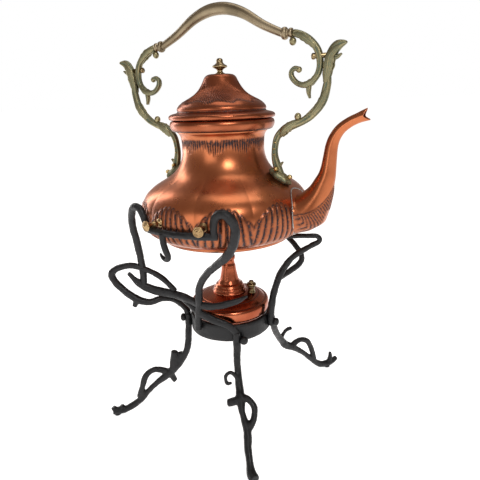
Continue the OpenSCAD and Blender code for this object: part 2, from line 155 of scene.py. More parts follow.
def ramp(tree, value, *stops):
    """A colour for each value: stops are (place, colour)."""
    node = tree.nodes.new("ShaderNodeValToRGB")
    elements = node.color_ramp.elements
    while len(elements) < len(stops):
        elements.new(0.5)
    for element, (place, colour) in zip(elements, stops):
        element.position = place
        element.color = (*colour, 1)
    tree.links.new(value, node.inputs["Fac"])
    return node.outputs["Color"]


def blend_colour(tree, amount, first, second):
    node = tree.nodes.new("ShaderNodeMix")
    node.data_type = "RGBA"
    tree.links.new(amount, node.inputs["Factor"])
    for socket, colour in ((node.inputs["A"], first), (node.inputs["B"], second)):
        if isinstance(colour, tuple):
            socket.default_value = (*colour, 1)
        else:
            tree.links.new(colour, socket)
    return node.outputs["Result"]


def spread(tree, value, low, high, start=0.0, end=1.0):
    """The value moved from start..end to low..high."""
    node = tree.nodes.new("ShaderNodeMapRange")
    node.inputs["From Min"].default_value = start
    node.inputs["From Max"].default_value = end
    node.inputs["To Min"].default_value = low
    node.inputs["To Max"].default_value = high
    tree.links.new(value, node.inputs["Value"])
    return node.outputs["Result"]


def dent(tree, shader, height, strength, distance):
    node = tree.nodes.new("ShaderNodeBump")
    node.inputs["Strength"].default_value = strength
    node.inputs["Distance"].default_value = distance
    tree.links.new(height, node.inputs["Height"])
    tree.links.new(node.outputs["Normal"], shader.inputs["Normal"])


def attribute(tree, name):
    node = tree.nodes.new("ShaderNodeAttribute")
    node.attribute_name = name
    return node.outputs["Fac"]


def metal(name, deep, warm, pale, rough=(0.12, 0.3), dents=(40, 0.06), tarnish=None):
    """Polished sheet or cast metal: cloudy colour, uneven gloss and faint dents.

    tarnish is (colour, roughness) for the grooves that the piece's tarnish attribute marks.
    """
    material, tree, shader = new_material(name, warm, 1.0, rough[0])
    clouds = object_noise(tree, 28, 5)
    colour = ramp(tree, clouds, (0.3, deep), (0.5, warm), (0.72, pale))
    smears = object_noise(tree, 90, 6, (1, 1, 0.35))
    gloss = spread(tree, smears, rough[0], rough[1], 0.35, 0.75)
    if tarnish:
        dark, dull = tarnish
        mark = attribute(tree, "tarnish")
        flecks = object_noise(tree, 420, 5)
        patchy = tree.nodes.new("ShaderNodeMath")
        patchy.operation = "MULTIPLY"
        patchy.use_clamp = True
        tree.links.new(mark, patchy.inputs[0])
        tree.links.new(spread(tree, flecks, 0.55, 1.5, 0.3, 0.7), patchy.inputs[1])
        mottle = ramp(tree, flecks, (0.45, dark), (0.72, tuple(1.8 * c + 0.02 for c in dark)))
        colour = blend_colour(tree, patchy.outputs[0], colour, mottle)
        gloss_mix = tree.nodes.new("ShaderNodeMix")
        tree.links.new(patchy.outputs[0], gloss_mix.inputs["Factor"])
        tree.links.new(gloss, gloss_mix.inputs["A"])
        gloss_mix.inputs["B"].default_value = dull
        gloss = gloss_mix.outputs["Result"]
        shine = spread(tree, patchy.outputs[0], 1.0, 0.7)
        tree.links.new(shine, shader.inputs["Metallic"])
    tree.links.new(colour, shader.inputs["Base Color"])
    tree.links.new(gloss, shader.inputs["Roughness"])
    scale, strength = dents
    dent(tree, shader, object_noise(tree, scale, 3), strength, 0.004)
    return material


def wrought_iron():
    """Blackened, hammered iron with a worn sheen and a little rust."""
    material, tree, shader = new_material("wrought_iron", (0.012, 0.012, 0.014), 0.35, 0.5)
    scale = object_noise(tree, 120, 6)
    colour = ramp(tree, scale, (0.3, (0.004, 0.004, 0.005)), (0.55, (0.009, 0.009, 0.010)),
                  (0.78, (0.022, 0.021, 0.021)))
    rust = spread(tree, object_noise(tree, 45, 4), 0.0, 0.5, 0.62, 0.8)
    tree.links.new(blend_colour(tree, rust, colour, (0.024, 0.014, 0.011)),
                   shader.inputs["Base Color"])
    tree.links.new(spread(tree, scale, 0.34, 0.62, 0.3, 0.7), shader.inputs["Roughness"])
    dent(tree, shader, object_noise(tree, 260, 5), 0.35, 0.0012)
    return material


def woven_wick():
    material, tree, shader = new_material("woven_wick", (0.8, 0.75, 0.62), 0.0, 0.9)
    weave = tree.nodes.new("ShaderNodeTexWave")
    place = tree.nodes.new("ShaderNodeTexCoord")
    weave.inputs["Scale"].default_value = 320
    tree.links.new(place.outputs["Object"], weave.inputs["Vector"])
    tree.links.new(ramp(tree, weave.outputs["Fac"], (0.2, (0.42, 0.37, 0.28)),
                        (0.8, (0.82, 0.77, 0.66))), shader.inputs["Base Color"])
    dent(tree, shader, weave.outputs["Fac"], 0.5, 0.0006)
    return material


COPPER = metal("kettle_copper", (0.40, 0.118, 0.048), (0.48, 0.150, 0.062), (0.56, 0.192, 0.085),
               rough=(0.27, 0.34), dents=(26, 0.025), tarnish=((0.016, 0.008, 0.010), 0.36))
LID_COPPER = metal("lid_copper", (0.25, 0.068, 0.030), (0.33, 0.094, 0.042), (0.42, 0.135, 0.064),
                   rough=(0.27, 0.36), dents=(26, 0.025), tarnish=((0.014, 0.006, 0.007), 0.4))
BURNER_COPPER = metal("burner_copper", (0.24, 0.055, 0.026), (0.37, 0.095, 0.045),
                      (0.50, 0.16, 0.08), rough=(0.18, 0.34), tarnish=((0.03, 0.012, 0.012), 0.5))
BRASS = metal("turned_brass", (0.15, 0.11, 0.055), (0.26, 0.19, 0.10), (0.40, 0.30, 0.16),
              rough=(0.2, 0.36), tarnish=((0.03, 0.03, 0.02), 0.5))
STUD_BRASS = metal("stud_brass", (0.24, 0.15, 0.07), (0.38, 0.25, 0.12), (0.52, 0.37, 0.19),
                   rough=(0.2, 0.38), tarnish=((0.04, 0.03, 0.02), 0.5))
GRIP_BRASS = metal("worn_grip_brass", (0.19, 0.15, 0.095), (0.28, 0.22, 0.14),
                   (0.37, 0.30, 0.2), rough=(0.34, 0.48), dents=(30, 0.1))
CAST_BRASS = metal("cast_brass", (0.21, 0.185, 0.10), (0.31, 0.265, 0.145), (0.44, 0.37, 0.2),
                   rough=(0.34, 0.48), dents=(60, 0.05), tarnish=((0.072, 0.094, 0.062), 0.58))
GOLDEN = metal("worn_gilt_bosses", (0.34, 0.24, 0.09), (0.52, 0.38, 0.16), (0.68, 0.52, 0.26),
               rough=(0.22, 0.36))
TIN = metal("tin_solder", (0.26, 0.25, 0.24), (0.42, 0.41, 0.39), (0.56, 0.55, 0.53),
            rough=(0.32, 0.5), dents=(300, 0.3))
IRON = wrought_iron()
WICK = woven_wick()


# ---- making pieces ----

def piece(name, bm, material, body, *stands_for):
    """The finished mesh as an object that rides on a body and stands for CAD nodes."""
    mesh = bpy.data.meshes.new(name)
    bm.to_mesh(mesh)
    bm.free()
    obj = bpy.data.objects.new(name, mesh)
    bpy.context.scene.collection.objects.link(obj)
    mesh.materials.append(material)
    for polygon in mesh.polygons:
        polygon.use_smooth = True
    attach(obj, body)
    if stands_for:
        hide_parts(*stands_for)
    return obj


def finish(node, material):
    """A node that keeps its own shape, with its finish."""
    nodes[node].data.materials.clear()
    nodes[node].data.materials.append(material)


def lathe(outline, columns, closed=False):
    """A mesh spun round the Z axis from (radius, height) points in millimetres."""
    bm = bmesh.new()
    verts = [bm.verts.new((r * MM, 0, z * MM)) for r, z in outline]
    pairs = list(zip(verts, verts[1:])) + ([(verts[-1], verts[0])] if closed else [])
    edges = [bm.edges.new(pair) for pair in pairs]
    bmesh.ops.spin(bm, geom=verts + edges, cent=(0, 0, 0), axis=(0, 0, 1), angle=TURN,
                   steps=columns, use_merge=True)
    bmesh.ops.remove_doubles(bm, verts=bm.verts, dist=1e-6)
    bmesh.ops.recalc_face_normals(bm, faces=bm.faces)
    return bm


def turned(outline, columns, start, along):
    """A lathe-turned shape whose axis leaves the point start in the direction along."""
    bm = lathe(outline, columns)
    turn = Vector((0, 0, 1)).rotation_difference(Vector(along)).to_matrix().to_4x4()
    bmesh.ops.transform(bm, matrix=Matrix.Translation(Vector(start) * MM) @ turn,
                        verts=bm.verts)
    return bm


def wrap(columns, rows, place, close_ends=True):
    """A tube from a flat grid, whose u runs once round it and whose v runs along it.

    place(u, v) gives the point in millimetres and its tarnish.
    """
    bm = bmesh.new()
    bmesh.ops.create_grid(bm, x_segments=columns, y_segments=rows, size=1)
    layer = bm.verts.layers.float.new("tarnish")
    for vert in bm.verts:
        point, tarnish = place((vert.co.x + 1) / 2, (vert.co.y + 1) / 2)
        vert.co = Vector(point) * MM
        vert[layer] = clamp(tarnish)
    bmesh.ops.remove_doubles(bm, verts=bm.verts, dist=2e-6)
    if close_ends:
        rims = [edge for edge in bm.edges if edge.is_boundary]
        bmesh.ops.holes_fill(bm, edges=rims, sides=columns + 1)
    bmesh.ops.recalc_face_normals(bm, faces=bm.faces)
    return bm


def mirrored(bm):
    """The same shape on the other side of the YZ plane."""
    bmesh.ops.transform(bm, matrix=Matrix.Scale(-1, 4, (1, 0, 0)), verts=bm.verts)
    bmesh.ops.recalc_face_normals(bm, faces=bm.faces)
    return bm


def gathered(parts):
    """Several meshes as one."""
    whole = bmesh.new()
    whole.verts.layers.float.new("tarnish")
    for bm in parts:
        step = bpy.data.meshes.new("step")
        bm.to_mesh(step)
        bm.free()
        whole.from_mesh(step)
        bpy.data.meshes.remove(step)
    return whole


def shift(bm, to_offset):
    """Moves each vertex outwards by to_offset(angle, radius, height) millimetres.

    to_offset gives (offset, tarnish), and the tarnish is kept on the mesh.
    """
    layer = bm.verts.layers.float.new("tarnish")
    bm.normal_update()
    for vert in bm.verts:
        angle = math.atan2(vert.co.y, vert.co.x)
        radius = math.hypot(vert.co.x, vert.co.y) / MM
        offset, tarnish = to_offset(angle, radius, vert.co.z / MM)
        vert[layer] = tarnish
        vert.co += vert.normal * offset * MM


def forged(node, name, body, voxel=0.9):
    """A node's strands as one smooth forging with the dents of the hammer."""
    source = nodes[node].data
    mesh = source.copy()
    obj = bpy.data.objects.new(name, mesh)
    bpy.context.scene.collection.objects.link(obj)
    weld = bmesh.new()
    weld.from_mesh(mesh)
    bmesh.ops.remove_doubles(weld, verts=weld.verts, dist=1e-6)
    weld.to_mesh(mesh)
    weld.free()
    remesh = obj.modifiers.new("forge", "REMESH")
    remesh.mode = "VOXEL"
    remesh.voxel_size = voxel * MM
    soften = obj.modifiers.new("soften", "SMOOTH")
    soften.factor = 0.5
    soften.iterations = 5
    depsgraph = bpy.context.evaluated_depsgraph_get()
    made = bpy.data.meshes.new_from_object(obj.evaluated_get(depsgraph))
    obj.modifiers.clear()
    bpy.data.objects.remove(obj)
    bm = bmesh.new()
    bm.from_mesh(made)
    bm.normal_update()
    for vert in bm.verts:
        x, y, z = vert.co / MM
        blow = 0.5 * grain(x, y, z, 9) + 0.22 * grain(x, y, z, 3.5)
        lift = ease(z / 3)
        vert.co += vert.normal * blow * lift * MM
    return piece(name, bm, IRON, body, node)


# ---- stand ----

for strand in ("leg_front", "leg_left", "leg_right", "crook_left", "loop_left", "leaf_left",
               "brace_front", "crook_front", "branch_right", "branch_rear", "cradle_bar"):
    forged(strand, strand + "_iron", "stand")


def cradle_tail():
    """The hooked tail that hangs from the bar under the studs."""
    path = [(-99, 105, 262.5, 3.6), (-98.6, 105.5, 254, 3.4), (-97.6, 105, 246, 3.4),
            (-97, 103.4, 239.6, 3.2), (-98, 101.8, 235.2, 3), (-100.4, 101, 233.4, 2.6),
            (-103, 101.4, 235.6, 2), (-104.4, 102, 239.6, 0.9)]

    def at(v):
        angle, radius, z, half = spline(path, v)
        turn = math.radians(angle)
        return Vector((radius * math.cos(turn), radius * math.sin(turn), z)), half

    def place(u, v):
        middle, half = at(v)
        along = (at(v + 0.02)[0] - at(v - 0.02)[0]).normalized()
        out = Vector((middle.x, middle.y, 0)).normalized()
        across = along.cross(out).normalized()
        angle = TURN * u
        point = middle + (across * math.cos(angle) + across.cross(along) * math.sin(angle)) * half
        return point, 0

    piece("cradle_tail_iron", wrap(20, 50, place), IRON, "stand", "cradle_tail")


cradle_tail()


def ring_band():
    """The riveted hoop that holds the burner."""
    low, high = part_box("ring_band")
    outer, bottom, top = high.x / MM, low.z / MM, high.z / MM
    inner = outer - 3
    bm = lathe([(inner, bottom + 0.5), (inner + 0.5, bottom), (outer - 0.8, bottom),
                (outer, bottom + 0.8), (outer + 0.2, bottom + 5), (outer, bottom + 11),
                (outer + 0.2, top - 5), (outer, top - 0.8), (outer - 0.8, top),
                (inner + 0.5, top), (inner, top - 0.5), (inner, bottom + 0.5)], 96)
    for vert in bm.verts:
        x, y, z = vert.co / MM
        vert.co += Vector((x, y, 0)).normalized() * 0.35 * grain(x, y, z, 12) * MM
        vert.co.z += 0.5 * grain(x, y, 7, 16) * MM
    piece("ring_band_iron", bm, IRON, "stand", "ring_band")


ring_band()


# The ring's rivets: direction in degrees, height, and how far out the head reaches
RIVETS = {"rivet_front": (-46, 122, 61), "rivet_left": (-150, 129, 64),
          "rivet_right": (5, 129, 64)}
for name, (angle, height, reach) in RIVETS.items():
    out = Vector((math.cos(math.radians(angle)), math.sin(math.radians(angle)), 0))
    knob = turned([(0, -16), (2.5, -16), (2.5, -6.4), (4.0, -5.4), (4.9, -3.6), (4.9, -2),
                   (4.1, -0.5), (2.4, 0.5), (0, 0.8)], 24,
                  out * (reach - 0.6) + Vector((0, 0, height)), out)
    piece(name + "_iron", knob, IRON, "stand", name)
for name in ("sole_front", "sole_left", "sole_right"):
    finish(name, IRON)


# ---- kettle ----

# Soft lobes round the body, where they start, and the flutes of the shell on each
LOBES = 10
LOBE_START = math.radians(-62)
FLUTES = 10
SHELL_LOW = BASE_Z + 29.5
SHELL_HIGH = BASE_Z + 49
FEATHERS = NECK_TOP - 13.5


def along_lobe(angle):
    """-1 to 1 across one lobe, and 0 in its middle."""
    x = (angle - LOBE_START) / (TURN / LOBES)
    return 2 * (x - round(x))


def body_outline(inset=0.0, fine=4):
    """The body from its base to the neck, as (radius, height)."""
    start = (BASE_R - inset, BASE_Z + 4)
    widest = (BODY_R - inset, BODY_Z)
    waist = (NECK_R - inset, NECK_TOP - 21)
    lower = bezier(start, (BASE_R + 12.5 - inset, BASE_Z + 6),
                   (widest[0], BODY_Z - 18), widest, 5 * fine)
    upper = bezier(widest, (widest[0], BODY_Z + 42), (waist[0], waist[1] - 48), waist, 17 * fine)
    flare = bezier(waist, (waist[0], waist[1] + 7), (waist[0] + 1, waist[1] + 13),
                   (NECK_R + 4.5 - inset, NECK_TOP - 6), 2 * fine)
    return [start] + lower + upper + flare + [(NECK_R + 4.5 - inset, NECK_TOP)]


OUTER = body_outline()


def body_radius(height):
    """The radius of the body's outer face at a height."""
    for (r0, z0), (r1, z1) in zip(OUTER, OUTER[1:]):
        if z0 <= height <= z1 and z1 > z0:
            return r0 + (r1 - r0) * (height - z0) / (z1 - z0)
    return OUTER[0][0] if height < OUTER[0][1] else OUTER[-1][0]


def body_relief(angle, radius, height):
    """Ten soft lobes, chased shells round the foot and feathering under the collar."""
    if radius < body_radius(height) - 0.8 * SHEET:
        return 0, 0.3
    u = along_lobe(angle)
    x, y = radius * math.cos(angle), radius * math.sin(angle)
    belly = ease((height - BASE_Z - 16) / 18) * ease((NECK_TOP - 30 - height) / 55)
    offset = -0.9 * belly * (0.75 * u * u + 0.25 * abs(u) ** 6)
    offset += 0.15 * grain(x, y, height, 15)
    depth = (SHELL_HIGH - height) / (SHELL_HIGH - BASE_Z)
    w = u / (1 + 0.5 * max(0, depth)) * FLUTES / 2
    side = 2 * (w - round(w))
    finger = math.sqrt(max(0, 1 - side * side))
    edge = SHELL_LOW + (SHELL_HIGH - SHELL_LOW) * math.cos(u * math.pi / 2) ** 0.85
    edge += 3.2 * finger - 1.6 + 0.6 * grain(x, y, 3, 9)
    foot = ease((height - BASE_Z - 8.5 - 2.5 * grain(x, y, 8, 14)) / 5)
    inside = ease((edge - height) / 1.1) * foot
    offset += inside * (2.3 * finger ** 0.8 - 1.4)
    offset += 0.45 * bump(height, edge + 0.3, 0.8) * foot
    tarnish = inside * (1.1 * abs(side) ** 2.4 + 0.24 + 0.35 * bump(height, edge - 1, 2.2))
    tarnish += 0.95 * bump(height, edge + 0.9, 0.9) * foot
    stroke = angle / TURN * 100
    reach = 12.5 + 5.5 * grain(round(stroke) * 7.3, 0, 0, 5) + 2.5 * math.cos(stroke * 0.63)
    lean = 0.35 * math.sin(stroke * 0.63) * (FEATHERS - height) / 10
    blade = abs(math.cos(math.pi * (stroke + lean)))
    down = FEATHERS + 1.2 * grain(round(stroke) * 3.7, 5, 0, 4) - height
    comb = ease((down + 0.6) / 1.0) * ease((reach - down) / 5)
    offset += comb * (1.1 * blade ** 0.7 - 0.8)
    tarnish += comb * (1.1 * (1 - blade) ** 0.6 + 0.65 * bump(down, 1.5, 4))
    return offset, clamp(tarnish)


def kettle_body():
    lining = body_outline(SHEET, fine=1)
    bm = lathe(OUTER + lining[::-1], LOBES * FLUTES * 8, closed=True)
    shift(bm, body_relief)
    piece("kettle_body_copper", bm, COPPER, "kettle", "kettle_body")


kettle_body()


def kettle_base():
    """The pan that closes the body, with its low rim."""
    floor = BASE_Z + 2
    bm = lathe([(0, floor + SHEET), (BASE_R - 4, floor + SHEET), (BASE_R - 2, BASE_Z + 4),
                (BASE_R + 0.8, BASE_Z + 4.4), (BASE_R + 1.6, BASE_Z + 3.4),
                (BASE_R + 1.4, BASE_Z + 2.2), (BASE_R + 0.4, BASE_Z + 1.6),
                (BASE_R + 0.2, BASE_Z + 1), (BASE_R - 0.4, BASE_Z + 0.2),
                (BASE_R - 2.4, BASE_Z), (BASE_R - 3.6, BASE_Z + 0.5),
                (BASE_R - 4.2, BASE_Z + 1.6), (BASE_R - 6, floor), (0, floor)], 120)
    shift(bm, lambda angle, radius, height: (0, 0.6 if radius < BASE_R - 4 else 0.1))
    piece("kettle_base_copper", bm, COPPER, "kettle", "kettle_base")


kettle_base()


def neck_collar():
    """The rolled collar round the mouth."""
    bottom, top, r = COLLAR_LOW.z / MM, COLLAR_HIGH.z / MM, COLLAR_HIGH.x / MM
    inner = NECK_R + 3.1
    outline = [(inner, bottom + 0.4), (inner + 1.6, bottom)]
    outline += bezier((inner + 1.6, bottom), (r - 3, bottom + 0.2), (r - 2.5, bottom + 0.8),
                      (r - 1.6, bottom + 2.6), 8)
    outline += bezier((r - 1.6, bottom + 2.6), (r + 0.5, bottom + 6.5), (r + 0.2, top - 3),
                      (r - 1.6, top - 0.9), 9)
    outline += bezier((r - 1.6, top - 0.9), (r - 2.4, top - 0.1), (r - 5, top),
                      (inner + 1, top), 5)
    bm = lathe(outline, 144, closed=True)
    shift(bm, lambda angle, radius, height: (
        0.12 * grain(radius * math.cos(angle), radius * math.sin(angle), height, 11),
        clamp(0.9 * ease((bottom + 3.4 - height) / 3))))
    piece("neck_collar_copper", bm, LID_COPPER, "kettle", "neck_collar")


neck_collar()

# The spout's middle line in the XZ plane, with its radius
SPOUT = [
    (101.5, 272.5, 23.8), (106, 277.5, 20.8), (111.5, 285.5, 17.2), (116, 294, 14.2),
    (119.3, 302.5, 11.9), (122.5, 311.5, 9.8), (124.2, 320.5, 8.4), (125.5, 331, 7.5),
    (127, 342, 6.8), (130, 351, 6.2), (136, 359.5, 5.7), (145, 366, 5.3), (154, 370, 5.2),
    (162, 372.5, 5.2)
]
# Where the spout is brazed on: its height and its radius
ROOT_Z, ROOT_R = 271.5, 25.3


def spout_core(u, v):
    """The spout's plain face: a swan neck with a ridge on each side and a split beak."""
    angle = TURN * u
    start = 0.05
    t = max(0, (v - start) / (1 - start))
    x, z, r = spline(SPOUT, t)
    ahead, behind = spline(SPOUT, t + 0.01), spline(SPOUT, t - 0.01)
    along = Vector((ahead[0] - behind[0], 0, ahead[1] - behind[1])).normalized()
    up = along.cross(Y_AXIS)
    side, rise = math.cos(angle), math.sin(angle)
    ridge = 1 + 0.07 * abs(side) ** 9 * ease(t / 0.3) - 0.04 * ease(t / 0.3)
    outward = Vector((0, side, 0)) + up * rise
    point = Vector((x, 0, z)) + outward * r * ridge
    beak = ease((t - 0.9) / 0.1)
    point += along * beak * (4.6 * abs(rise) ** 1.5 - 3.4)
    point += up * beak * (1.5 if rise > 0 else -0.6) * abs(rise) ** 2
    if v < start:
        y, height = ROOT_R * side, ROOT_Z + ROOT_R * rise
        root = Vector((math.sqrt(body_radius(height) ** 2 - y * y) - 0.6, y, height))
        point = root.lerp(point, max(0, v) / start)
    return point, outward, t, rise


def spout_point(u, v):
    """The spout with its rounded root, and leaf flutes under it."""
    point, outward, t, rise = spout_core(u, v)
    reach = 0.014 * ease(v / 0.06) * ease((0.3 - v) / 0.1)
    if reach > 0:
        near = [spout_core(u, v + k * reach)[0] for k in range(-4, 5)]
        point = sum(near, Vector()) / len(near)
    low = -math.degrees(math.asin(clamp(rise, -1, 1)))
    line = -2 + 92 * (t / 0.36) ** 1.3
    phase = t * 46 + low / 17
    fold = 2 * (phase - round(phase))
    finger = math.sqrt(max(0, 1 - fold * fold))
    under = ease((low - line - 5 * (1 - finger)) / 6) * ease((0.36 - t) / 0.04)
    under *= ease((84 - low) / 20) if t < 0.15 else 1
    under *= ease(v / 0.03)
    point += outward * under * (1.7 * finger - 1.0)
    tarnish = under * (1.05 * abs(fold) ** 2.2 + 0.26)
    tarnish += 0.8 * bump(low, line - 1, 3) * (t < 0.34)
    return point, tarnish


def spout():
    bm = wrap(120, 170, spout_point, close_ends=False)
    obj = piece("spout_copper", bm, COPPER, "kettle", "spout")
    wall = obj.modifiers.new("sheet", "SOLIDIFY")
    wall.thickness = 1.1 * MM
    wall.offset = -1


def spout_seam():
    """The bead of tin where the spout is brazed to the body."""
    def place(u, v):
        a, b = TURN * u, TURN * v
        if 0.999 < v or v < 0.001:
            b = 0
        y, height = ROOT_R * math.cos(b), ROOT_Z + ROOT_R * math.sin(b)
        middle = Vector((math.sqrt(body_radius(height) ** 2 - y * y) + 0.1, y, height))
        out = Vector((0, math.cos(b), math.sin(b)))
        thick = 0.75 + 0.25 * grain(y, height, 0, 4)
        return middle + (out * math.cos(a) + Vector((1, 0, 0)) * math.sin(a)) * thick, 0.4

    piece("spout_seam_tin", wrap(8, 120, place, close_ends=False), TIN, "kettle")


spout()
spout_seam()

# ---- lid ----

LID_FLUTES = 96


def lid_outline(inset=0.0, fine=4):
    """The lid from its rim to its flat top; the lining lies inside it all the way."""
    low, z, r = LID_Z + inset, LID_Z - inset, LID_R - inset
    outline = [(r - 5, low + 0.6), (r - 4.2, low)]
    outline += bezier((r - 4.2, low), (r - 0.6, low), (r + 0.3, low + 0.6),
                      (r + 0.2, LID_Z + 3.2), 2 * fine)
    outline += bezier((r + 0.2, LID_Z + 3.2), (r, z + 5.6), (r - 4, z + 6.6), (r - 8, z + 7.4),
                      2 * fine)
    outline += bezier((r - 8, z + 7.4), (r - 10.4, z + 8), (r - 10.4, z + 9.2), (r - 9.6, z + 10),
                      fine)
    outline += bezier((r - 9.6, z + 10), (r - 9, z + 12), (r - 11, z + 15), (r - 15, z + 18),
                      3 * fine)
    outline += bezier((r - 15, z + 18), (r - 29, z + 25), (25 - inset, z + 27),
                      (18 - inset, z + 43), 12 * fine)
    outline += bezier((18 - inset, z + 43), (16 - inset, z + 46.4), (13 - inset, z + 47),
                      (10 - inset, z + 47), 2 * fine)
    return outline


def lid_relief(angle, radius, height):
    """Swirled flutes on the dome, which end in a notched, wavy border."""
    up = height - LID_Z
    x, y = radius * math.cos(angle), radius * math.sin(angle)
    swirl = angle + 0.022 * (up - 19)
    border = 19.4 + 1.5 * math.cos(swirl * 11) + 0.5 * grain(x, y, 0, 6)
    blade = abs(math.cos(math.pi * swirl / TURN * LID_FLUTES))
    inside = ease((up - border) / 0.9) * ease((43 - up - 4 * grain(x, y, 2, 7)) / 17)
    offset = inside * (1.15 * blade ** 0.7 - 0.85)
    notch = bump(up, border - 0.4, 0.9)
    offset += notch * (1.0 * blade - 1.1)
    offset += 0.12 * grain(x, y, height, 12)
    tarnish = inside * (0.04 + 0.7 * (1 - blade) ** 1.3) + notch * (1.0 - 0.5 * blade)
    tarnish += 0.8 * bump(up, 8.6, 0.9) * (1 if radius < LID_R - 8.6 else 0)
    return offset, clamp(tarnish)


def lid():
    outer, lining = lid_outline(), lid_outline(SHEET, fine=1)
    top = LID_Z + 47
    bm = lathe(outer + [(0, top), (0, top - SHEET)] + lining[::-1], LID_FLUTES * 6, closed=True)
    outside = {(round(r, 2), round(z, 2)) for r, z in outer}

    def relief(angle, radius, height):
        if (round(radius, 2), round(height, 2)) in outside:
            return lid_relief(angle, radius, height)
        return 0, 0.3

    shift(bm, relief)
    piece("lid_copper", bm, LID_COPPER, "lid", "lid")


lid()


def finial():
    """The turned knob on its short stem."""
    low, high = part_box("finial_knob")
    stem_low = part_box("finial_stem")[0].z / MM
    bottom, top, r = low.z / MM, high.z / MM, high.x / MM
    outline = [(0, stem_low - 0.3), (5.4, stem_low - 0.3), (5.2, stem_low + 0.8),
               (3.4, stem_low + 1.8), (2.9, stem_low + 3.2), (3.8, bottom - 0.6),
               (6.2, bottom + 0.6)]
    outline += bezier((6.2, bottom + 0.6), (r, bottom + 1.2), (r + 0.4, bottom + 2.6),
                      (r - 1.2, bottom + 3.6), 6)
    outline += bezier((r - 1.2, bottom + 3.6), (r - 3.4, bottom + 4.6), (4.6, bottom + 5),
                      (3.6, bottom + 6.6), 6)
    outline += bezier((3.6, bottom + 6.6), (3.6, bottom + 8.6), (4.0, top - 0.2), (0, top), 8)
    bm = lathe(outline, 48)
    piece("finial_brass", bm, BRASS, "lid", "finial_stem", "finial_knob")


finial()


# ---- castings ----

def casting(points, thick, ribs=3, leaf=0.0, leaves=5, rows=110, columns=40):
    """A ribbed casting in the XZ plane through (x, z, half-width) points.

    thick is the half-thickness along Y. leaf is how far its veined leaves stand out.
    """
    def place(u, v):
        angle = TURN * u
        x, z, half = spline(points, v)
        ahead, behind = spline(points, v + 0.008), spline(points, v - 0.008)
        along = Vector((ahead[0] - behind[0], 0, ahead[1] - behind[1])).normalized()
        across = along.cross(Y_AXIS)
        side, rise = math.cos(angle), math.sin(angle)
        end = math.sqrt(max(0, 1 - max(0, abs(2 * v - 1) - 0.95) ** 2 / 0.0025))
        vein = abs(math.sin(ribs * angle + 0.5 * math.pi))
        ripple = 0.5 + 0.5 * math.cos(TURN * leaves * v + 2.2 * abs(side))
        swell = leaf * (ripple ** 0.6 - 0.55)
        groove = 0.5 * (1 - vein ** 0.5)
        grown = half + swell - groove
        flat = thick * (0.86 + 0.14 * half / max(p[2] for p in points)) + 0.4 * swell - groove
        edge = abs(side) ** 0.8 * (1 if side > 0 else -1)
        front = abs(rise) ** 0.75 * (1 if rise > 0 else -1)
        point = Vector((x, 0, z)) + (across * edge * grown + Y_AXIS * front * flat) * end
        tarnish = 0.02 + 0.8 * (1 - vein) + 0.3 * (1 - ripple) * (leaf > 0)
        tarnish += 0.35 * grain(x, z, 5 * rise, 9)
        return point, tarnish
    return wrap(columns, rows, place)


def bead(x, y, z, radius, squash=1.0, axis=None):
    """A small round boss, flattened along an axis."""
    bm = bmesh.new()
    layer = bm.verts.layers.float.new("tarnish")
    bmesh.ops.create_uvsphere(bm, u_segments=20, v_segments=12, radius=radius * MM)
    turn = Z_AXIS.rotation_difference(axis or Z_AXIS).to_matrix().to_4x4()
    flatten = Matrix.Diagonal((1, 1, squash, 1))
    bmesh.ops.transform(bm, verts=bm.verts,
                        matrix=Matrix.Translation(Vector((x, y, z)) * MM) @ turn @ flatten)
    for vert in bm.verts:
        vert[layer] = 0.1
    return bm


def leaf(points, width, cup, veins=5, side=1):
    """A cupped, veined leaf along (x, y, z) points, thickest at its midrib."""
    def place(u, v):
        angle = TURN * u
        x, y, z = spline(points, v)
        ahead, behind = spline(points, v + 0.01), spline(points, v - 0.01)
        along = (Vector(ahead) - Vector(behind)).normalized()
        out = (Y_AXIS * side - along * along.dot(Y_AXIS * side)).normalized()
        across = along.cross(out)
        swell = max(0.05, math.sin(math.pi * (0.08 + 0.9 * v)) ** 0.8)
        lobes = 1 + 0.07 * math.cos(TURN * veins * v)
        half = width * swell * lobes
        c, h = math.cos(angle), math.sin(angle)
        rib = 0.35 * abs(math.cos(2.5 * math.pi * c))
        point = Vector((x, y, z)) + across * half * c
        point += out * (h * (0.9 + rib) * swell - cup * c * c * half * 0.25)
        return point, 0.05 + 0.7 * abs(math.sin(2.5 * math.pi * c)) * abs(h)
    return wrap(28, 44, place)


# The middle lines of the two castings as (x, z, half-width)
BRACKET = [
    (71, 309, 5), (66.5, 321, 4.6), (64.2, 331, 3.8), (64.5, 341, 3.4), (67.5, 351.5, 3.6),
    (75, 359, 4.2), (85, 363.8, 4.6), (96, 367.5, 3.9), (106, 374.3, 4.3), (116.3, 386, 4.4),
    (120.8, 401, 4), (121.8, 412, 3.3), (122.6, 421, 3.6), (124.8, 430, 5), (131, 437, 4.8),
    (140, 439.5, 1.2)
]
SCROLL = [
    (85, 452.5, 3.6), (94, 449.5, 3.7), (103, 444, 3.6), (109.8, 436.5, 3.5), (113, 428, 3.6),
    (113.3, 418.5, 3.3), (110.5, 411, 3.1), (104.5, 404.8, 3), (97.5, 402.6, 2.9),
    (90, 404.8, 2.8), (84.3, 410.5, 2.7), (83.6, 416, 2.5), (87, 419, 2.4), (91, 418.2, 2.6)
]


# The bracket's pad lies on the sloping shoulder: its middle, its normal and its long way
PAD_TILT = math.radians(33.5)
PAD_MIDDLE = Vector((68.3, 0, 306.5))
PAD_OUT = Vector((math.sin(PAD_TILT), 0, math.cos(PAD_TILT)))
PAD_DOWN = Vector((math.cos(PAD_TILT), 0, -math.sin(PAD_TILT)))


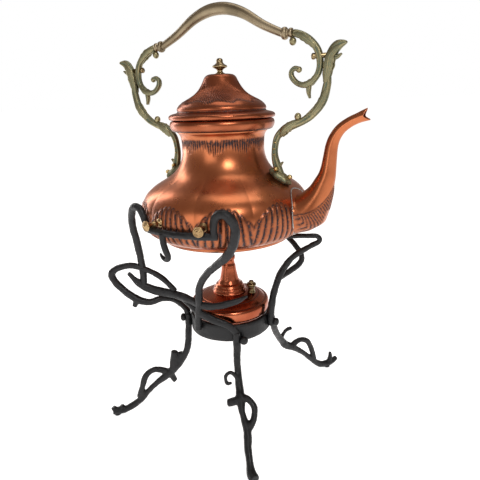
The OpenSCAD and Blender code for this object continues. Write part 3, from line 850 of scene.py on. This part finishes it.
def bracket():
    """Pad, fluted stem with its leaf wrap and knob, and the leafy head with its beak."""
    parts = [casting(BRACKET, 3.7, ribs=3, leaf=0.18, leaves=7, rows=190)]
    pad = bmesh.new()
    layer = pad.verts.layers.float.new("tarnish")
    bmesh.ops.create_uvsphere(pad, u_segments=48, v_segments=24, radius=1)
    for vert in pad.verts:
        lobe = 1 + 0.07 * math.cos(7 * math.atan2(vert.co.y, vert.co.x))
        place = PAD_MIDDLE + PAD_OUT * (3.4 + 5.4 * vert.co.z)
        place += (PAD_DOWN * vert.co.x * 14.2 + Y_AXIS * vert.co.y * 8.2) * lobe
        vert[layer] = clamp(0.7 - 0.6 * vert.co.z)
        vert.co = place * MM
    parts.append(pad)
    for sign in (1, -1):
        parts.append(leaf([(72, sign * 3, 352), (77, sign * 4.4, 359), (84, sign * 4.4, 364),
                           (91, sign * 3, 367.5)], 4.4, 0.6, side=sign))
        parts.append(leaf([(119.5, sign * 3, 404), (122, sign * 4.2, 417),
                           (125, sign * 4.4, 429), (134, sign * 2.6, 438)], 4.8, 0.6, side=sign))
        parts.append(leaf([(103, sign * 2.4, 372), (111, sign * 3.8, 379),
                           (118, sign * 3.6, 390), (121, sign * 2.6, 401)], 3.7, 0.5, side=sign))
    parts.append(casting([(66.5, 318, 2.6), (70.5, 322, 2), (73.6, 325, 0.8)], 2.2, rows=24))
    parts.append(casting([(125, 428, 3), (130, 427, 2.4), (135, 429.6, 0.8)], 2.6, rows=24))
    parts.append(bead(90.5, 0, 372, 3.6, 1.1))
    return gathered(parts)


def bosses():
    """The three round heads along the pad, and the little beads up the stem."""
    parts = []
    for along, aside, size in ((-7, -5.6, 2.7), (-7, 5.6, 2.7), (9.5, 0, 2.9)):
        at = PAD_MIDDLE + PAD_OUT * 9.4 + PAD_DOWN * along + Y_AXIS * aside
        parts.append(bead(at.x, at.y, at.z, size, 0.8, PAD_OUT))
    for x, z in ((64.4, 333), (64.5, 339), (66, 346)):
        for sign in (1, -1):
            parts.append(bead(x, sign * 3.3, z, 1.1))
    return gathered(parts)


def scroll():
    """The C-scroll with its curled leaf end, bud and spike."""
    parts = [casting(SCROLL, 3.5, ribs=3, leaf=0.15, leaves=6, rows=180),
             casting([(102.5, 404.5, 3), (102, 396, 2.4), (103.5, 389.5, 0.8)], 2.9, rows=34)]
    parts.append(bead(85, 0, 444.6, 3.6, 1.15))
    parts.append(bead(91.6, 0, 417.6, 3.1, 1.0))
    for sign in (1, -1):
        parts.append(leaf([(86, sign * 2.6, 451), (95, sign * 3.8, 448.5),
                           (104, sign * 3.6, 442), (110, sign * 2.4, 435)], 3.7, 0.5, side=sign))
        parts.append(leaf([(112, sign * 2.2, 414), (106, sign * 3.6, 406),
                           (97, sign * 3.6, 402.8), (88, sign * 2.2, 406)], 3.0, 0.5, side=sign))
    return gathered(parts)


def hinge_pin():
    """A domed pin through the bracket and the scroll."""
    return turned([(0, 0), (2.6, 0), (3.2, 0.8), (3.2, 2.4), (2.5, 2.8), (2.5, 22.4), (2, 23),
                   (0, 23)], 28, (105.1, 0, PIVOT.z / MM), X_AXIS)


def grip_collars():
    return turned([(3, 0), (5.2, 0), (5.9, 0.9), (6.1, 2.5), (5.8, 4.2), (5, 5), (3.7, 5.4),
                   (3.4, 6.2), (3.7, 7.2), (4.4, 7.7), (4.7, 9.2), (4.3, 10.7), (3.4, 11), (0, 11)],
                  40, (74, 0, 452.5), X_AXIS)


for end, face in (("front", lambda bm: bm), ("rear", mirrored)):
    piece("bracket_" + end + "_cast", face(bracket()), CAST_BRASS, "kettle", "bracket_" + end)
    piece("bosses_" + end + "_gilt", face(bosses()), GOLDEN, "kettle", "bracket_rivets_" + end)
    piece("hinge_pin_" + end + "_brass", face(hinge_pin()), BRASS, "kettle", "pivot_pin_" + end)
    piece("scroll_" + end + "_cast", face(scroll()), CAST_BRASS, "bail", "scroll_" + end)
    piece("grip_collars_" + end + "_brass", face(grip_collars()), GRIP_BRASS, "bail",
          "grip_collars_" + end)


def grip():
    """The smooth bowed bar of the bail, thicker in its middle."""
    half = [(0, 483.5, 6.2), (15, 481.7, 6), (32, 475.3, 5.3), (53, 462.7, 4.5), (75, 452.4, 3.9)]
    whole = [(-x, z, r) for x, z, r in half[:0:-1]] + half

    def place(u, v):
        x, z, r = spline(whole, v)
        ahead, behind = spline(whole, v + 0.01), spline(whole, v - 0.01)
        along = Vector((ahead[0] - behind[0], 0, ahead[1] - behind[1])).normalized()
        up = along.cross(Y_AXIS)
        angle = TURN * u
        return (Vector((x, 0, z)) + (up * math.cos(angle) + Y_AXIS * math.sin(angle)) * r), 0

    piece("grip_brass", wrap(40, 120, place), GRIP_BRASS, "bail", "grip")


grip()


def stud(name, boss, angle):
    """A turned stud: boss, waisted shank and a ringed button head."""
    out = Vector((math.cos(math.radians(angle)), math.sin(math.radians(angle)), 0))
    profile = [(0, -1.6), (3, -1.6), (5, 0), (5.1, 1.4), (4.2, 2.6), (3.3, 3.2), (2.9, 5),
               (3.3, 7), (3.6, 8), (3.2, 9), (2.7, 11), (2.9, 13.4), (3.5, 14.6), (3.5, 15.4),
               (4.6, 16), (5.4, 17), (5.5, 18.2), (5.1, 19.2), (4.5, 19.2), (4.2, 18.8),
               (3.9, 19.2), (3.4, 19.9), (2.8, 19.9), (2.5, 19.5), (2.2, 19.9), (1.2, 20.5),
               (0, 20.7)]
    start = out * (BODY_R - SHEET) + Z_AXIS * STUD_Z
    piece(name + "_brass", turned(profile, 40, start, out), STUD_BRASS, "kettle", name, boss)


for end, angle in STUD_ANGLES.items():
    stud("stud_" + end, "stud_boss_" + end, angle)

# ---- burner ----


def burner():
    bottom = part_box("fount_lower")[0].z / MM
    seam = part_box("fount_upper")[0].z / MM
    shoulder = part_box("fount_upper")[1].x / MM
    lower = [(0, bottom), (28, bottom)] + bezier(
        (28, bottom), (37, bottom), (42.6, bottom + 4), (45.7, seam), 10) + [(0, seam)]
    piece("fount_lower_copper", lathe(lower, 96), BURNER_COPPER, "burner", "fount_lower")
    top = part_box("fount_upper")[1].z / MM
    dome = [(0, seam), (shoulder - 2, seam)]
    dome += bezier((shoulder - 2, seam), (shoulder - 0.4, seam + 3), (shoulder, seam + 7),
                   (shoulder - 0.1, seam + 11), 8)
    dome += bezier((shoulder - 0.1, seam + 11), (shoulder - 0.4, seam + 13.4),
                   (shoulder - 1.4, seam + 14.6), (shoulder - 3, seam + 15.2), 6)
    dome += [(shoulder - 4, seam + 14.8), (shoulder - 5, seam + 15.6)]
    dome += bezier((shoulder - 5, seam + 15.6), (40, seam + 18.6), (38, seam + 19.4),
                   (36.5, seam + 19.8), 6)
    dome += [(36, seam + 19.2), (35.2, seam + 20.1)]
    dome += bezier((35.2, seam + 20.1), (31, seam + 21.2), (25, seam + 21.6), (20, top), 8)
    dome += [(0, top)]
    bm = lathe(dome, 120)
    shift(bm, lambda angle, radius, height: (
        0.1 * grain(radius * math.cos(angle), radius * math.sin(angle), height, 14),
        clamp(0.8 * bump(radius, 36, 0.7) + 0.8 * bump(radius, shoulder - 4, 0.7))))
    piece("fount_upper_copper", bm, BURNER_COPPER, "burner", "fount_upper")
    stem = [(0, top), (20.5, top), (20.8, top + 1), (20.5, top + 2.6), (19.3, top + 3.4),
            (18.5, top + 4.4), (19.2, top + 5.2), (19.3, top + 6.2), (17.8, top + 7.4),
            (16.8, top + 8.4), (16.6, top + 10.4), (14.5, top + 11.2)]
    stem += [(13.2, top + 12.4), (13, top + 14), (11.8, top + 15)]
    stem += bezier((11.8, top + 15), (10.6, top + 21), (9.2, top + 26), (8.6, top + 33), 9)
    stem += [(8.4, top + 33.6), (8.6, top + 34.6), (7.6, top + 35.6), (7.3, top + 41),
             (8.1, top + 42), (8.3, top + 44), (8.1, top + 46.4), (7.2, top + 47),
             (4.2, top + 47), (4, top + 20), (0, top + 20)]
    piece("burner_stem_copper", lathe(stem, 72), BURNER_COPPER, "burner", "stem_moulding",
          "burner_stem", "burner_head")
    x, y = (sum(corner[i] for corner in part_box("filler_neck")) / 2 / MM for i in (0, 1))
    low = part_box("filler_neck")[0].z / MM
    neck = [(2.6, low + 2), (2.6, low + 10), (4.5, low + 10), (4.5, low + 8.6), (4.1, low + 8),
            (4.1, low + 3.4), (4.8, low + 2.4), (5, low), (0, low), (0, low + 2), (2.6, low + 2)]
    bm = lathe(neck, 32)
    bmesh.ops.translate(bm, verts=bm.verts, vec=Vector((x, y, 0)) * MM)
    piece("filler_neck_brass", bm, BRASS, "burner", "filler_neck")
    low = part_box("filler_cap")[0].z / MM
    cap = [(0, low), (2.4, low), (2.4, low + 4), (5.6, low + 4), (6.1, low + 4.8),
           (6.1, low + 6), (5.4, low + 7), (3.4, low + 7.3), (2.5, low + 8.2),
           (3.1, low + 9.3), (2.6, low + 10.3), (0, low + 10.7)]
    bm = lathe(cap, 32)
    bmesh.ops.translate(bm, verts=bm.verts, vec=Vector((x, y, 0)) * MM)
    piece("filler_cap_brass", bm, BRASS, "cap", "filler_cap")


burner()

finish("lid_bezel", LID_COPPER)
finish("wick", WICK)


# ---- room, lights and camera ----

def aim(obj, eye, target):
    obj.location = eye
    obj.rotation_euler = (target - eye).to_track_quat("-Z", "Y").to_euler()


def softbox(name, eye, target, size, power, colour=(1, 1, 1)):
    data = bpy.data.lights.new(name, "AREA")
    data.shape = "RECTANGLE"
    data.size, data.size_y = size
    data.energy = power
    data.color = colour
    obj = bpy.data.objects.new(name, data)
    bpy.context.scene.collection.objects.link(obj)
    aim(obj, Vector(eye), Vector(target))
    return obj


def room():
    bpy.ops.mesh.primitive_plane_add(size=400, location=(0, 0, -0.0005))
    floor = bpy.context.object
    floor.name = "floor"
    material, tree, shader = new_material("pale_floor", (0.85, 0.85, 0.85), 0.0, 0.85)
    shader.inputs["Emission Color"].default_value = (1, 1, 1, 1)
    shader.inputs["Emission Strength"].default_value = 0.82
    floor.data.materials.append(material)
    world = bpy.data.worlds.new("room")
    bpy.context.scene.world = world
    world.use_nodes = True
    tree = world.node_tree
    background = tree.nodes["Background"]
    rays = tree.nodes.new("ShaderNodeLightPath")
    mix = tree.nodes.new("ShaderNodeMix")
    mix.data_type = "RGBA"
    mix.inputs["A"].default_value = (0.30, 0.27, 0.25, 1)
    mix.inputs["B"].default_value = (1.0, 1.0, 1.0, 1)
    tree.links.new(rays.outputs["Is Camera Ray"], mix.inputs["Factor"])
    tree.links.new(mix.outputs["Result"], background.inputs["Color"])
    background.inputs["Strength"].default_value = 1.0


room()
MIDDLE = (0, 0, 0.27)
softbox("key", (0.86, -0.92, 1.2), MIDDLE, (0.35, 0.5), 9)
softbox("left_strip", (-1.1, 0.25, 0.55), MIDDLE, (0.25, 1.3), 5)
softbox("front_fill", (-0.2, -1.6, 0.6), MIDDLE, (0.7, 0.7), 3)
softbox("top", (0.1, 0.2, 1.7), MIDDLE, (0.9, 0.9), 5)


def camera():
    """The eye stands 30 degrees round from the front, level with the lid."""
    azimuth = math.radians(30)
    distance, height, focal = 0.5289, 0.3876, 34.05
    turn, tilt, lean = math.radians(1.64), math.radians(16.78), math.radians(-2.1)
    forward = Vector((math.sin(turn) * math.cos(tilt), math.cos(turn) * math.cos(tilt),
                      -math.sin(tilt)))
    right = Vector((math.cos(turn), -math.sin(turn), 0))
    up = right.cross(forward)
    side = right * math.cos(lean) + up * math.sin(lean)
    top = up * math.cos(lean) - right * math.sin(lean)
    round_z = Matrix.Rotation(azimuth, 4, "Z")
    axes = Matrix((side, top, -forward)).transposed().to_4x4()
    data = bpy.data.cameras.new("camera")
    data.lens = focal
    data.sensor_width = 36
    data.clip_start = 0.01
    obj = bpy.data.objects.new("camera", data)
    bpy.context.scene.collection.objects.link(obj)
    obj.matrix_world = round_z @ Matrix.Translation((0, -distance, height)) @ axes
    bpy.context.scene.camera = obj


camera()
